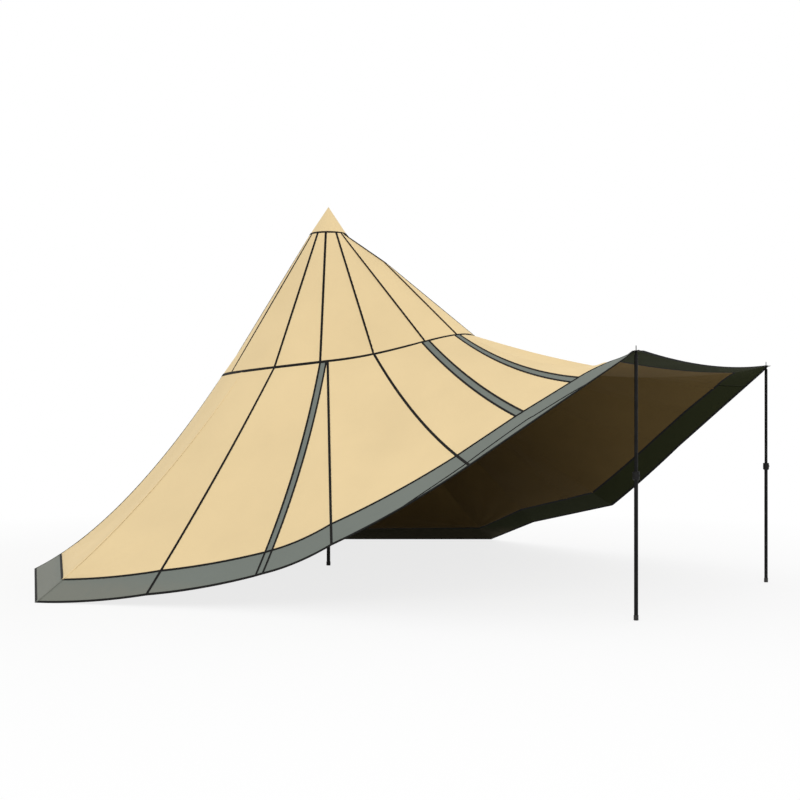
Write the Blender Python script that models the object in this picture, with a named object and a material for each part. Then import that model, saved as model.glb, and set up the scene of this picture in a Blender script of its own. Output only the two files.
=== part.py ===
"""Peaked canvas tent with one centre pole, whose front hem is raised as an awning on two poles.

Metres, +Z up. The origin is on the ground under the centre pole. The open mouth faces -Y.
Angles around the tent are azimuths in degrees from -Y, growing towards -X, the left side.
"""
from collections import namedtuple
from math import acos, atan2, ceil, cos, degrees, hypot, pi, radians, sin, sqrt

import bpy
from mathutils import Vector

# Canvas
FABRIC_THICKNESS = 0.002
SEAM_GAP = 0.0003            # between two panels that are sewn edge to edge
HOLLOW_SHARE = 0.035         # how far a panel sinks between its seams, as a share of its width
HEM_BAND_WIDTH = 0.28
STRIP_WIDTH = 0.060
GUSSET_TOP_WIDTH = 0.014
COLUMN_STEP = 9.0            # degrees of azimuth between two columns of a panel at most
CANVAS_ROWS = 6
BAND_ROWS = 2
CROWN_ROWS = 4
RIDGE_ROWS = 2               # of the crown's rows, down to where the ridge opens
WEDGE_START = 0.02           # share of a seam below the ridge's opening at which the front gore begins

# Peak
APEX_HEIGHT = 3.888
CAP_RADIUS = 0.200
CAP_RIM_HEIGHT = 3.585
CAP_GAP = 0.0005             # between the cap's rim and the gores
RIDGE_SPLIT = Vector((0.0, -0.763, 3.23))   # where the ridge opens into the two awning seams

# Ring seam between the upper gores and the lower panels
RING_RADIUS = 1.14
RING_FRONT_REACH = 0.68      # how much further the ring lies from the axis at the front
RING_HEIGHT = 2.05
RING_FRONT_RISE = 0.16       # a broad rise towards the front
RING_BROW_RISE = 0.21        # and a narrow one on top of it
REACH_SHARPNESS = 14         # powers that say how narrow the reach and the two rises are
FRONT_SHARPNESS = 2.5
BROW_SHARPNESS = 25

# Hem, left half: the right half mirrors it
AWNING_POLE_X = 1.433
AWNING_POLE_Y = -4.31
AWNING_HEIGHT = 2.10
AWNING_SAG = 0.07            # of the front hem between the two poles
CORNER_X = 1.460
CORNER_Y = -4.345
SIDE_PEG_X = 3.632
SIDE_PEG_Y = 0.212
REAR_PEG_X = 2.112
REAR_PEG_Y = 2.275
BACK_Y = 2.36

# How the side hems climb: share of the way from the side peg to the awning's corner, and share of the
# awning's height there. The right side is pitched with its hem higher near the side peg.
LEFT_HEM = ((0.0, 0.0), (0.199, 0.043), (0.394, 0.132), (0.516, 0.257), (0.740, 0.568), (1.0, 1.0))
RIGHT_HEM = ((0.0, 0.0), (0.199, 0.143), (0.516, 0.288), (1.0, 1.0))

# Key lines of the walls, each a curve from the ring over a knee to the hem: azimuth at the ring,
# share of the way up the side hem, share of the way out at the knee, and how far the knee drops
# below the straight line from ring to hem
SIDE_LINES = {
    "corner": (2.5, 1.000, 0.66, 0.400),
    "awning": (5.3, 0.930, 0.50, 0.200),
    "eave": (15.5, 0.841, 0.50, 0.150),
    "brow": (31.2, 0.740, 0.50, 0.220),
    "door": (54.0, 0.394, 0.50, 0.113),
    "side": (78.2, 0.199, 0.50, 0.090),
    "side_peg": (100.0, 0.000, 0.50, 0.315),
}
DOOR_SWAY = 0.085                        # how far the door line's knee bends towards the front
GUSSET_LINE = (0.516, 0.50, 0.132)       # its azimuth follows the door strip's edge
REAR_PEG_LINE = (137.0, 0.53, 0.509)     # azimuth, share of the way out and drop
FRONT_LINE = (0.0, 0.45, 0.396)
BACK_LINE = (180.0, 0.53, 0.4646)

# Seams of the upper gores: azimuth at the cap and at the ring
UPPER_SEAMS = (
    (0.0, 5.3),
    (8.0, 15.5),
    (26.0, 31.2),
    (58.0, 54.0),
    (84.0, 78.2),
    (110.0, 112.0),
    (145.0, 145.0),
)

# Centre pole
POLE_CLEARANCE = 0.0003      # between a tube and what slides in it or plugs into it
CENTRE_TUBE_RADIUS = 0.0175
CENTRE_TUBE_WALL = 0.0016
CENTRE_UPPER_LENGTH = 2.25
CENTRE_OVERLAP = 0.30
CENTRE_HEAD_RADIUS = 0.045
CENTRE_HEAD_SKIRT = 0.030

# Awning poles
AWNING_TUBE_RADIUS = 0.0140
AWNING_TUBE_WALL = 0.0014
AWNING_UPPER_LENGTH = 1.05
AWNING_OVERLAP = 0.15
SPIKE_RADIUS = 0.0035
SPIKE_RISE = 0.045
BALL_RADIUS = 0.011
BALL_STEPS = 6
NECK_RADIUS = 0.0077
BALL_RISE = 0.0242           # from the tube's top to the ball's centre
SPIKE_TIP_RADIUS = 0.0014
SPIKE_TIP_LENGTH = 0.007
EYELET_HOLE_RADIUS = 0.009
EYELET_RADIUS = 0.024
EYELET_THICKNESS = 0.005

# Fittings that both kinds of pole share
COLLAR_RADIUS = 0.028
COLLAR_LENGTH = 0.060
COLLAR_CHAMFER = 0.003
COLLAR_TAPER = 0.009
FOOT_WALL = 0.003
FOOT_HEIGHT = 0.040
FOOT_FLOOR = 0.006
PLUG_DEPTH = 0.045
PLUG_LIP = 0.006             # height of the rim that sits on the tube
PLUG_SHOULDER = 0.0036       # height of the cone above that rim
BUTTON_RADIUS = 0.0065
BUTTON_TRAVEL = 0.004
BUTTON_POCKET = 0.0075
BUTTON_PROUD = 0.005
ROUND_SEGMENTS = 24
CAP_SEGMENTS = 72

Key = namedtuple("Key", "name azimuth foot knee_share knee_drop knee_sway", defaults=(0.0,))


def clear_scene():
    for thing in list(bpy.data.objects):
        bpy.data.objects.remove(thing, do_unlink=True)


def make_material(name, color, roughness, metallic=0.0):
    material = bpy.data.materials.new(name)
    material.use_nodes = True
    shader = material.node_tree.nodes["Principled BSDF"]
    shader.inputs["Base Color"].default_value = (*color, 1.0)
    shader.inputs["Roughness"].default_value = roughness
    shader.inputs["Metallic"].default_value = metallic
    return material


def make_object(name, points, faces, material):
    mesh = bpy.data.meshes.new(name)
    mesh.from_pydata([tuple(p) for p in points], [], faces)
    mesh.materials.append(material)
    thing = bpy.data.objects.new(name, mesh)
    bpy.context.scene.collection.objects.link(thing)
    return thing


# Ring seam

def front_weight(azimuth, sharpness):
    return ((1 + cos(radians(azimuth))) / 2) ** sharpness


def ring_radius(azimuth):
    return RING_RADIUS + RING_FRONT_REACH * front_weight(azimuth, REACH_SHARPNESS)


def ring_point(azimuth):
    radius = ring_radius(azimuth)
    height = (RING_HEIGHT + RING_FRONT_RISE * front_weight(azimuth, FRONT_SHARPNESS)
              + RING_BROW_RISE * front_weight(azimuth, BROW_SHARPNESS))
    return around(azimuth, radius, height)


def around(azimuth, radius, height):
    turn = radians(azimuth)
    return Vector((-radius * sin(turn), -radius * cos(turn), height))


# Hem and the key lines that run down from the ring to it

def hem_climb(share, hem):
    for (low, low_climb), (high, high_climb) in zip(hem, hem[1:]):
        if share <= high:
            return low_climb + (high_climb - low_climb) * (share - low) / (high - low)
    raise ValueError(share)


def side_hem(share, hem):
    """Left hem from the side peg (share 0) up to the awning's corner (share 1)."""
    x = -(SIDE_PEG_X + (CORNER_X - SIDE_PEG_X) * share)
    y = SIDE_PEG_Y + (CORNER_Y - SIDE_PEG_Y) * share
    return Vector((x, y, max(AWNING_HEIGHT * hem_climb(share, hem), FABRIC_THICKNESS)))


def side_key(name, hem):
    azimuth, share, knee_share, knee_drop = SIDE_LINES[name]
    return Key(name, azimuth, side_hem(share, hem), knee_share, knee_drop)


def strip_edges(name, hem, sway=0.0, beside=False):
    """The two edge lines of a strip that is centred on a seam at the ring, or lies in front of it."""
    azimuth, share, knee_share, knee_drop = SIDE_LINES[name]
    turn = degrees(STRIP_WIDTH / 2 / ring_radius(azimuth))
    ahead, behind = (2 * turn, 0.0) if beside else (turn, turn)
    step = STRIP_WIDTH / 2 / hypot(SIDE_PEG_X - CORNER_X, SIDE_PEG_Y - CORNER_Y)
    return (
        Key(name + "_front", azimuth - ahead, side_hem(share + step, hem), knee_share, knee_drop, sway),
        Key(name + "_rear", azimuth + behind, side_hem(share - step, hem), knee_share, knee_drop, sway),
    )


def side_keys(hem):
    """Key lines of the left side, from the awning's corner to the rear peg."""
    door = strip_edges("door", hem, DOOR_SWAY, beside=True)
    gusset_turn = degrees(GUSSET_TOP_WIDTH / ring_radius(door[0].azimuth))
    gusset_share, *gusset_knee = GUSSET_LINE
    rear_azimuth, *rear_knee = REAR_PEG_LINE
    return (
        side_key("corner", hem),
        *strip_edges("awning", hem),
        *strip_edges("eave", hem),
        side_key("brow", hem),
        Key("gusset", door[0].azimuth - gusset_turn, side_hem(gusset_share, hem), *gusset_knee),
        *door,
        side_key("side", hem),
        side_key("side_peg", hem),
        Key("rear_peg", rear_azimuth, Vector((-REAR_PEG_X, REAR_PEG_Y, FABRIC_THICKNESS)), *rear_knee),
    )


def mirrored(key):
    foot = Vector((-key.foot.x, key.foot.y, key.foot.z))
    return key._replace(name="right_" + key.name, azimuth=360 - key.azimuth, foot=foot)


def all_keys():
    """Key lines all the way round: front, down the left side, back, and up the right side."""
    front_azimuth, *front_knee = FRONT_LINE
    back_azimuth, *back_knee = BACK_LINE
    front = Key("front", front_azimuth, Vector((0, CORNER_Y, AWNING_HEIGHT - AWNING_SAG)), *front_knee)
    back = Key("back", back_azimuth, Vector((0, BACK_Y, FABRIC_THICKNESS)), *back_knee)
    left = [key._replace(name="left_" + key.name) for key in side_keys(LEFT_HEM)]
    right = [mirrored(key) for key in reversed(side_keys(RIGHT_HEM))]
    return [front, *left, back, *right]


KEYS = all_keys()
COUNT = len(KEYS)
INDEX = {key.name: number for number, key in enumerate(KEYS)}


def key_at(number):
    return KEYS[number % COUNT]


def key_azimuth(number):
    return key_at(number).azimuth + 360 * (number // COUNT)


def key_point(number, t):
    """Point of a key line, a quadratic curve from the ring (t 0) to the hem (t 1)."""
    key = key_at(number)
    top = ring_point(key.azimuth)
    knee = top.lerp(key.foot, key.knee_share)
    out = (key.foot - top).xy.normalized()
    turn = 1 if out.x > 0 else -1
    knee += Vector((out.y, -out.x, 0)) * (turn * key.knee_sway)
    knee.z -= key.knee_drop
    return top * (1 - t) ** 2 + knee * (2 * t * (1 - t)) + key.foot * t ** 2


def band_start(number):
    """t at which the hem band begins, so that the band keeps its width round the corners."""
    foot = key_at(number).foot
    before = (key_at(number - 1).foot - foot).normalized()
    after = (key_at(number + 1).foot - foot).normalized()
    length = HEM_BAND_WIDTH / sin(before.angle(after) / 2)
    low, high = 0.0, 1.0
    for _ in range(30):
        t = (low + high) / 2
        if (key_point(number, t) - foot).length > length:
            low = t
        else:
            high = t
    return low


BAND_START = [band_start(number) for number in range(COUNT)]


def split(pos):
    number = int(pos // 1)
    return number, pos - number


def band_start_at(pos):
    number, share = split(pos)
    return BAND_START[number % COUNT] * (1 - share) + BAND_START[(number + 1) % COUNT] * share


def azimuth_at(pos):
    number, share = split(pos)
    return key_azimuth(number) * (1 - share) + key_azimuth(number + 1) * share


def pos_at(azimuth):
    """Place among the key lines of an azimuth at the ring."""
    for number in range(-COUNT, 2 * COUNT):
        low, high = key_azimuth(number), key_azimuth(number + 1)
        if low <= azimuth < high:
            return number + (azimuth - low) / (high - low)
    raise ValueError(azimuth)


# Surfaces

def taut_wall(pos, t):
    """Lower canvas stretched straight between two neighbouring key lines."""
    number, share = split(pos)
    first, second = key_point(number, t), key_point(number + 1, t)
    chord = key_point(number, 0).lerp(key_point(number + 1, 0), share)
    bow = ring_point(azimuth_at(pos)) - chord
    return first.lerp(second, share) + bow * (1 - t) ** 2


def taut_normal(pos, t):
    """Outward normal of the lower canvas, the mean of both sides at a key line."""
    step = 0.004
    low, high = max(t - step, 0.0), min(t + step, 1.0)
    down = taut_wall(pos, high) - taut_wall(pos, low)
    before = (taut_wall(pos, t) - taut_wall(pos - step, t)).normalized()
    after = (taut_wall(pos + step, t) - taut_wall(pos, t)).normalized()
    return (before + after).cross(down).normalized()


def hollow_depth(width, share, along):
    return HOLLOW_SHARE * width * 4 * share * (1 - share) * sin(pi * along)


def wall_point(pos, t):
    number, share = split(pos)
    along = t / band_start_at(pos)
    point = taut_wall(pos, t)
    if share == 0 or along >= 1:
        return point
    width = (key_point(number + 1, t) - key_point(number, t)).length
    return point - taut_normal(pos, t) * hollow_depth(width, share, along)


def slope_normal(azimuth, fall, run):
    """Unit vector at right angles to a slope that falls and runs outwards along an azimuth."""
    length = sqrt(fall ** 2 + run ** 2)
    flat = around(azimuth, fall / length, 0.0)
    return Vector((flat.x, flat.y, run / length))


def cap_normal(azimuth):
    return slope_normal(azimuth, APEX_HEIGHT - CAP_RIM_HEIGHT, CAP_RADIUS)


def ring_normal(azimuth):
    """Shared by the gore above the ring seam and the panel below it."""
    rim = ring_point(azimuth)
    above = slope_normal(azimuth, CAP_RIM_HEIGHT - rim.z, hypot(rim.x, rim.y) - CAP_RADIUS)
    return (above + taut_normal(pos_at(azimuth % 360), 0.0)).normalized()


def upper_seams():
    """Cap and ring azimuths of the seams all the way round, the front pair being one ridge."""
    right = [(360 - cap, 360 - ring) for cap, ring in reversed(UPPER_SEAMS)]
    return [*UPPER_SEAMS, *right, (360 + UPPER_SEAMS[0][0], 360 + UPPER_SEAMS[0][1])]


RIDGE_SPLIT_SHARE = (-RIDGE_SPLIT.y - CAP_RADIUS) / (ring_radius(0.0) - CAP_RADIUS)


def seam_point(seam, s):
    """Point of an upper seam, from the cap (s 0) to the ring (s 1)."""
    top = around(seam[0], CAP_RADIUS, CAP_RIM_HEIGHT)
    bottom = ring_point(seam[1])
    if seam[0] % 360:
        return top.lerp(bottom, s)
    if s <= RIDGE_SPLIT_SHARE:
        return top.lerp(RIDGE_SPLIT, s / RIDGE_SPLIT_SHARE)
    return RIDGE_SPLIT.lerp(bottom, (s - RIDGE_SPLIT_SHARE) / (1 - RIDGE_SPLIT_SHARE))


def gore_point(first, second, share, s):
    point = seam_point(first, s).lerp(seam_point(second, s), share)
    if share in (0, 1):
        return point
    ring_bow = (ring_point(first[1] * (1 - share) + second[1] * share)
                - seam_point(first, 1).lerp(seam_point(second, 1), share))
    cap_bow = (around(first[0] * (1 - share) + second[0] * share, CAP_RADIUS, CAP_RIM_HEIGHT)
               - seam_point(first, 0).lerp(seam_point(second, 0), share))
    width = (seam_point(second, s) - seam_point(first, s)).length
    normal = crown_normal(point, s)
    sink = normal * hollow_depth(width, share, s)
    return point + ring_bow * s ** 2 + cap_bow * (1 - s) ** 2 - sink


def crown_normal(point, s):
    azimuth = degrees(atan2(-point.x, -point.y))
    return cap_normal(azimuth).lerp(ring_normal(azimuth), s).normalized()


# Canvas pieces

def stations():
    """Places among the key lines at which every canvas piece has a column of points."""
    seams = [pos_at(ring % 360) for _, ring in upper_seams()[:-1]]
    places = []
    for number in range(COUNT):
        inner = sorted(pos for pos in seams if number < pos < number + 1)
        stops = [number, *inner, number + 1]
        for low, high in zip(stops, stops[1:]):
            turn = azimuth_at(high) - azimuth_at(low)
            parts = ceil(turn / COLUMN_STEP)
            places += [low + (high - low) * part / parts for part in range(parts)]
    return places


STATIONS = stations()


def columns(first, last):
    """Stations from one place to another, going round past the front if the last is beyond it."""
    laps = [*STATIONS, *(place + COUNT for place in STATIONS), 2 * COUNT]
    return [place for place in laps if first - 1e-9 <= place <= last + 1e-9]


def inset_step(point, inward, before, after):
    """Half a seam gap, square to the edge that runs from before to after, towards inward."""
    along = (after - before).normalized()
    step = inward - point
    return (step - along * step.dot(along)).normalized() * (SEAM_GAP / 2)


def inset(grid):
    """The grid's points, with its four edges drawn in by half a seam gap."""
    rows, width = len(grid), len(grid[0])
    drawn = [[point.copy() for point in row] for row in grid]
    for row in range(rows):
        above, below = max(row - 1, 0), min(row + 1, rows - 1)
        for edge, inner in ((0, 1), (width - 1, width - 2)):
            drawn[row][edge] += inset_step(grid[row][edge], grid[row][inner],
                                           grid[above][edge], grid[below][edge])
    for column in range(width):
        left, right = max(column - 1, 0), min(column + 1, width - 1)
        for edge, inner in ((0, 1), (rows - 1, rows - 2)):
            drawn[edge][column] += inset_step(grid[edge][column], grid[inner][column],
                                              grid[edge][left], grid[edge][right])
    return drawn


def make_sheet(name, grid, normals, material):
    """Closed canvas solid from a grid of outer points."""
    rows, width = len(grid), len(grid[0])
    drawn = inset(grid)
    outer = [point for row in drawn for point in row]
    inner = [point - normal * FABRIC_THICKNESS
             for point, normal in zip(outer, (n for row in normals for n in row))]
    size = rows * width
    faces = []
    for row in range(rows - 1):
        for column in range(width - 1):
            a = row * width + column
            b, c, d = a + 1, a + width + 1, a + width
            faces += [(a, b, c), (a, c, d), (size + a, size + c, size + b), (size + a, size + d, size + c)]
    top = list(range(width))
    right = [row * width + width - 1 for row in range(1, rows)]
    bottom = [(rows - 1) * width + column for column in range(width - 2, -1, -1)]
    left = [row * width for row in range(rows - 2, 0, -1)]
    rim = top + right + bottom + left
    for a, b in zip(rim, rim[1:] + rim[:1]):
        if a > b:    # both neighbours of a seam split their walls along the same diagonal
            faces += [(b, a, size + a), (b, size + a, size + b)]
        else:
            faces += [(b, a, size + b), (a, size + a, size + b)]
    return make_object(name, outer + inner, faces, material)


def make_panel(name, first, last, from_band, material):
    """Lower panel above the hem band, or the band itself, between two places."""
    places = columns(first, last)
    rows = BAND_ROWS if from_band else CANVAS_ROWS
    shares = [row / rows for row in range(rows + 1)]
    grid, normals = [], []
    for share in shares:
        row, row_normals = [], []
        for place in places:
            start = band_start_at(place)
            t = start + (1 - start) * share if from_band else start * share
            row.append(wall_point(place, t))
            at_ring = share == 0 and not from_band
            row_normals.append(ring_normal(azimuth_at(place)) if at_ring else taut_normal(place, t))
        grid.append(row)
        normals.append(row_normals)
    return make_sheet(name, grid, normals, material)


def make_gore(name, first, second, start, material):
    """Upper gore between two seams, from a share of the way down the seams to the ring."""
    low, high = pos_at(first[1]), pos_at(second[1])
    places = columns(low, high)
    rows = [start + (1 - start) * row / CROWN_ROWS for row in range(CROWN_ROWS + 1)]
    if not start:
        split_share = RIDGE_SPLIT_SHARE
        rows = [split_share * row / RIDGE_ROWS for row in range(RIDGE_ROWS)]
        rows += [split_share + (1 - split_share) * row / CROWN_ROWS for row in range(CROWN_ROWS + 1)]
    grid, normals = [], []
    for s in rows:
        row, row_normals = [], []
        for place in places:
            azimuth = azimuth_at(place)
            share = round((azimuth - first[1]) / (second[1] - first[1]), 9)
            point = gore_point(first, second, share, s)
            row.append(point)
            row_normals.append(ring_normal(azimuth) if s == 1 else crown_normal(point, s))
        grid.append(row)
        normals.append(row_normals)
    return make_sheet(name, grid, normals, material)


def make_crown(canvas):
    seams = upper_seams()
    half = len(UPPER_SEAMS)
    for number in range(half - 1):
        make_gore(f"gore_left_{number + 1}", seams[number], seams[number + 1], 0.0, canvas)
        mirror = len(seams) - 3 - number
        make_gore(f"gore_right_{number + 1}", seams[mirror], seams[mirror + 1], 0.0, canvas)
    make_gore("gore_back", seams[half - 1], seams[half], 0.0, canvas)
    make_gore("gore_front", seams[-2], seams[-1], RIDGE_SPLIT_SHARE + WEDGE_START, canvas)


PANELS = (
    ("1", "awning_rear", "eave_front"),
    ("2", "eave_rear", "brow"),
    ("3", "brow", "gusset"),
    ("4", "door_rear", "side"),
    ("5", "side", "side_peg"),
    ("6", "side_peg", "rear_peg"),
)
GUSSET = ("gusset", "door_front")
STRIPS = ("awning", "eave", "door")


def make_pair(stem, first, last, from_band, material, suffix=""):
    """A canvas piece on the left side and its mirror image on the right."""
    make_panel(f"{stem}_left{suffix}", INDEX["left_" + first], INDEX["left_" + last], from_band, material)
    make_panel(f"{stem}_right{suffix}", INDEX["right_" + last], INDEX["right_" + first], from_band, material)


def make_walls(canvas):
    for number, first, last in PANELS:
        make_pair("panel", first, last, False, canvas, "_" + number)
    make_pair("gusset", *GUSSET, False, canvas)
    make_panel("panel_awning", INDEX["right_awning_front"], COUNT + INDEX["left_awning_front"], False, canvas)
    make_panel("panel_back", INDEX["left_rear_peg"], INDEX["right_rear_peg"], False, canvas)


def make_trim(band, corner_cutters):
    for name in STRIPS:
        make_pair("strip", name + "_front", name + "_rear", False, band, "_" + name)
    make_pair("band", "side_peg", "rear_peg", True, band, "_rear")
    make_pair("band", "corner", "side_peg", True, band, "_side")
    make_panel("band_back", INDEX["left_rear_peg"], INDEX["right_rear_peg"], True, band)
    make_panel("band_front", INDEX["right_corner"], COUNT + INDEX["left_corner"], True, band)
    for side, cutter in corner_cutters.items():
        cut(bpy.data.objects[f"band_{side}_side"], cutter)
        cut(bpy.data.objects["band_front"], cutter)


# Turned pieces

def lathe(name, profile, material, x=0.0, y=0.0, segments=ROUND_SEGMENTS):
    """Closed turned solid. The profile of (radius, height) runs round the section anticlockwise."""
    points, rings = [], []
    for radius, height in profile:
        if radius == 0:
            rings.append([len(points)] * segments)
            points.append((x, y, height))
            continue
        rings.append([len(points) + k for k in range(segments)])
        for k in range(segments):
            turn = 2 * pi * k / segments
            points.append((x + radius * cos(turn), y + radius * sin(turn), height))
    faces = []
    for number, ring in enumerate(rings):
        following = rings[(number + 1) % len(rings)]
        if profile[number][0] == 0 and profile[(number + 1) % len(profile)][0] == 0:
            continue
        for k in range(segments):
            a, b = ring[k], ring[(k + 1) % segments]
            c, d = following[(k + 1) % segments], following[k]
            corners = [a, b, c, d]
            face = [v for i, v in enumerate(corners) if v != corners[i - 1]]
            faces.append(tuple(face))
    thing = make_object(name, points, faces, material)
    thing.data.shade_smooth()
    thing.data.set_sharp_from_angle(angle=radians(35))
    return thing


def cut(thing, cutter):
    modifier = thing.modifiers.new("cut", "BOOLEAN")
    modifier.operation = "DIFFERENCE"
    modifier.solver = "EXACT"
    modifier.object = cutter


def hide_cutter(cutter):
    cutter.hide_render = True
    cutter.display_type = "WIRE"


def make_cap(material):
    """Cone over the tops of the gores."""
    normal = cap_normal(0.0)
    drop = FABRIC_THICKNESS / normal.z
    inset = FABRIC_THICKNESS * -normal.y
    rim = (CAP_RADIUS - CAP_GAP * normal.z, CAP_RIM_HEIGHT + CAP_GAP * -normal.y)
    inner = (rim[0] - inset, rim[1] - FABRIC_THICKNESS * normal.z)
    profile = [(0, APEX_HEIGHT), (0, APEX_HEIGHT - drop), inner, rim]
    lathe("apex_cap", profile, material, segments=CAP_SEGMENTS)
    return APEX_HEIGHT - drop


def tube(name, inner, outer, bottom, top, material, x=0.0, y=0.0):
    profile = [(inner, bottom), (outer, bottom), (outer, top), (inner, top)]
    return lathe(name, profile, material, x, y)


def foot(name, radius, material, x=0.0, y=0.0):
    """Rubber cup under a tube of the given outer radius."""
    bore = radius + POLE_CLEARANCE
    outer = bore + FOOT_WALL
    profile = [(0, 0), (outer, 0), (outer, FOOT_HEIGHT),
               (bore, FOOT_HEIGHT), (bore, FOOT_FLOOR), (0, FOOT_FLOOR)]
    return lathe(name, profile, material, x, y)


def lower_tube(name, bore, wall, top, material, x=0.0, y=0.0):
    """Outer tube of a telescopic pole, with a thick collar at its top that holds the lock button."""
    outer = bore + wall
    bottom = FOOT_FLOOR + POLE_CLEARANCE
    shoulder = top - COLLAR_LENGTH
    profile = [
        (bore, bottom), (outer, bottom), (outer, shoulder - COLLAR_TAPER),
        (COLLAR_RADIUS, shoulder), (COLLAR_RADIUS, top - COLLAR_CHAMFER),
        (COLLAR_RADIUS - COLLAR_CHAMFER, top), (bore, top),
    ]
    thing = lathe(name, profile, material, x, y)
    pocket = radial_pin(name + "_pocket", BUTTON_RADIUS + POLE_CLEARANCE, COLLAR_RADIUS - BUTTON_POCKET,
                        COLLAR_RADIUS + BUTTON_PROUD, top - COLLAR_LENGTH / 2, None, x, y)
    hide_cutter(pocket)
    cut(thing, pocket)
    return thing


def radial_pin(name, radius, near, far, height, material, x=0.0, y=0.0):
    """Round pin whose axis runs towards -Y at a height, between two distances from the pole's axis."""
    points = []
    for distance in (near, far):
        for k in range(ROUND_SEGMENTS):
            turn = 2 * pi * k / ROUND_SEGMENTS
            points.append((x + radius * cos(turn), y - distance, height + radius * sin(turn)))
    ring = range(ROUND_SEGMENTS)
    faces = [tuple(reversed(ring)), tuple(k + ROUND_SEGMENTS for k in ring)]
    for k in ring:
        following = (k + 1) % ROUND_SEGMENTS
        faces.append((k, following, following + ROUND_SEGMENTS, k + ROUND_SEGMENTS))
    return make_object(name, points, faces, material)


def lock_button(name, top, material, x=0.0, y=0.0):
    near = COLLAR_RADIUS - BUTTON_POCKET + BUTTON_TRAVEL + POLE_CLEARANCE
    return radial_pin(name, BUTTON_RADIUS, near, COLLAR_RADIUS + BUTTON_PROUD, top - COLLAR_LENGTH / 2,
                      material, x, y)


def make_centre_pole(cap_underside, steel, plastic, rubber):
    inner = CENTRE_TUBE_RADIUS - CENTRE_TUBE_WALL
    slope = (APEX_HEIGHT - CAP_RIM_HEIGHT) / CAP_RADIUS
    peak = cap_underside - POLE_CLEARANCE / cap_normal(0.0).z
    shoulder = peak - CENTRE_HEAD_RADIUS * slope
    seat = shoulder - CENTRE_HEAD_SKIRT
    plug = inner - POLE_CLEARANCE
    head = [(0, seat - PLUG_DEPTH), (plug, seat - PLUG_DEPTH), (plug, seat), (CENTRE_HEAD_RADIUS, seat),
            (CENTRE_HEAD_RADIUS, shoulder), (0, peak)]
    lathe("centre_pole_head", head, plastic)
    top = seat - POLE_CLEARANCE
    bottom = top - CENTRE_UPPER_LENGTH
    tube("centre_pole_upper", inner, CENTRE_TUBE_RADIUS, bottom, top, steel)
    bore = CENTRE_TUBE_RADIUS + POLE_CLEARANCE
    collar_top = bottom + CENTRE_OVERLAP
    lower_tube("centre_pole_lower", bore, CENTRE_TUBE_WALL, collar_top, steel)
    lock_button("centre_pole_button", collar_top, plastic)
    foot("centre_pole_foot", bore + CENTRE_TUBE_WALL, rubber)


def eyelet_height():
    """Height of the canvas at the awning's eyelet, a little way in from the corner."""
    inset = hypot(CORNER_X - AWNING_POLE_X, CORNER_Y - AWNING_POLE_Y)
    corner = INDEX["left_corner"]
    low, high = 0.0, 1.0
    for _ in range(30):
        t = (low + high) / 2
        gap = key_point(corner, t) - key_point(corner, 1)
        if hypot(gap.x, gap.y) > inset:
            low = t
        else:
            high = t
    return key_point(corner, low).z - FABRIC_THICKNESS / 2


def make_awning_pole(side, x, eyelet_z, steel, plastic, rubber):
    y = AWNING_POLE_Y
    stem = f"awning_pole_{side}"
    underside = eyelet_z - EYELET_THICKNESS / 2
    ball = underside - sqrt((BALL_RADIUS + POLE_CLEARANCE) ** 2 - EYELET_HOLE_RADIUS ** 2)
    inner = AWNING_TUBE_RADIUS - AWNING_TUBE_WALL
    plug = inner - POLE_CLEARANCE
    seat = ball - BALL_RISE
    spike = [(0, seat - PLUG_DEPTH), (plug, seat - PLUG_DEPTH), (plug, seat), (AWNING_TUBE_RADIUS, seat),
             (AWNING_TUBE_RADIUS, seat + PLUG_LIP), (NECK_RADIUS, seat + PLUG_LIP + PLUG_SHOULDER)]
    start = -acos(NECK_RADIUS / BALL_RADIUS)
    stop = acos(SPIKE_RADIUS / BALL_RADIUS)
    for step in range(BALL_STEPS + 1):
        turn = start + (stop - start) * step / BALL_STEPS
        spike.append((BALL_RADIUS * cos(turn), ball + BALL_RADIUS * sin(turn)))
    tip = eyelet_z + SPIKE_RISE
    spike += [(SPIKE_RADIUS, tip - SPIKE_TIP_LENGTH), (SPIKE_TIP_RADIUS, tip), (0, tip)]
    lathe(stem + "_spike", spike, steel, x, y)
    top = seat - POLE_CLEARANCE
    bottom = top - AWNING_UPPER_LENGTH
    tube(stem + "_upper", inner, AWNING_TUBE_RADIUS, bottom, top, steel, x, y)
    bore = AWNING_TUBE_RADIUS + POLE_CLEARANCE
    collar_top = bottom + AWNING_OVERLAP
    lower_tube(stem + "_lower", bore, AWNING_TUBE_WALL, collar_top, steel, x, y)
    lock_button(stem + "_button", collar_top, plastic, x, y)
    foot(stem + "_foot", bore + AWNING_TUBE_WALL, rubber, x, y)


def make_eyelet(side, x, height, brass):
    low, high = height - EYELET_THICKNESS / 2, height + EYELET_THICKNESS / 2
    tube("eyelet_" + side, EYELET_HOLE_RADIUS, EYELET_RADIUS, low, high, brass, x, AWNING_POLE_Y)


def eyelet_cutter(side, x, height):
    reach = EYELET_RADIUS * 2
    profile = [(0, height - reach), (EYELET_RADIUS + POLE_CLEARANCE, height - reach),
               (EYELET_RADIUS + POLE_CLEARANCE, height + reach), (0, height + reach)]
    cutter = lathe("eyelet_cutter_" + side, profile, None, x, AWNING_POLE_Y)
    hide_cutter(cutter)
    return cutter


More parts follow.
